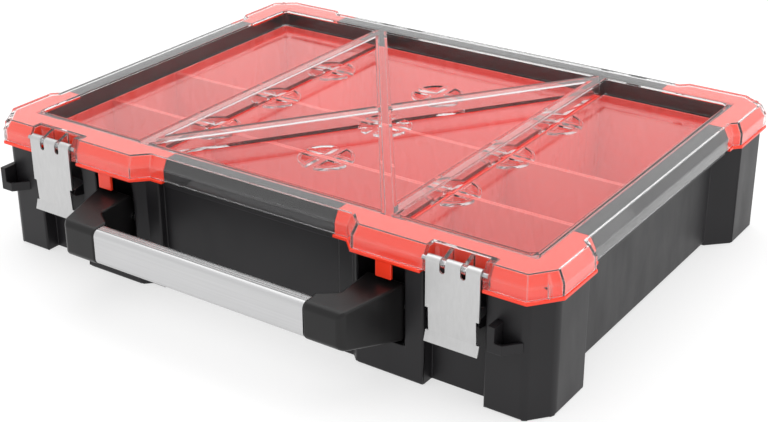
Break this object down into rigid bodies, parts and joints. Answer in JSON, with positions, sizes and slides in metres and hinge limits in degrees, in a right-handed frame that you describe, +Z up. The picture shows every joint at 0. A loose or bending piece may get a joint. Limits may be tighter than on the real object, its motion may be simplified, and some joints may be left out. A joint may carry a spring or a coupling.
{
  "type": "parts storage case",
  "caption": "Flat carrying case with a clear ribbed lid on rear hinges, two sheet-metal latches, lift-out bins and a folding grip handle.",
  "frame": {"origin": "on the surface the case rests on, under the centre of the case body without its handle", "axes": "+X to the right along the front edge, +Y from the handle at the front to the hinges at the rear, +Z up"},
  "size_m": [0.483, 0.4121, 0.104],
  "materials": {
    "base_black": "fine moulded texture, black",
    "trim_red": "smooth moulded, orange red",
    "bin_red": "smooth moulded, red",
    "lid_clear": "clear moulded plastic, gloss",
    "latch_steel": "satin light grey",
    "pin_steel": "plain",
    "grip_aluminium": "satin anodised"
  },
  "bodies": {
    "case": {"base_shell": "base_black", "corner_lug_left": "base_black", "corner_lug_right": "base_black", "trim_front_left": "trim_red", "trim_front_right": "trim_red", "trim_rear_left": "trim_red", "trim_rear_right": "trim_red", "hinge_pin_left": "pin_steel", "hinge_pin_right": "pin_steel", "handle_pivot_left": "pin_steel", "handle_pivot_right": "pin_steel", "bin_front_left": "bin_red", "bin_front_centre": "bin_red", "bin_front_right": "bin_red", "bin_middle_left": "bin_red", "bin_middle_centre": "bin_red", "bin_middle_right": "bin_red", "bin_rear_left": "bin_red", "bin_rear_centre": "bin_red", "bin_rear_right": "bin_red"},
    "lid": {"lid": "lid_clear", "latch_pin_left": "pin_steel", "latch_pin_right": "pin_steel"},
    "latch_left": {"latch_left": "latch_steel"},
    "latch_right": {"latch_right": "latch_steel"},
    "handle": {"handle_grip": "grip_aluminium", "handle_arm_left": "base_black", "handle_arm_right": "base_black"}
  },
  "joints": [
    {"name": "lid_hinge", "type": "hinge", "parent": "case", "child": "lid", "pos_m": [0, 0.181, 0.088], "axis": [-1, 0, 0], "range_deg": [0, 105]},
    {"name": "latch_left_hinge", "type": "hinge", "parent": "lid", "child": "latch_left", "pos_m": [-0.1748, -0.18, 0.096], "axis": [-1, 0, 0], "range_deg": [0, 100]},
    {"name": "latch_right_hinge", "type": "hinge", "parent": "lid", "child": "latch_right", "pos_m": [0.1748, -0.18, 0.096], "axis": [-1, 0, 0], "range_deg": [0, 100]},
    {"name": "handle_swing", "type": "hinge", "parent": "case", "child": "handle", "pos_m": [0, -0.17, 0.0515], "axis": [1, 0, 0], "range_deg": [0, 22]}
  ]
}
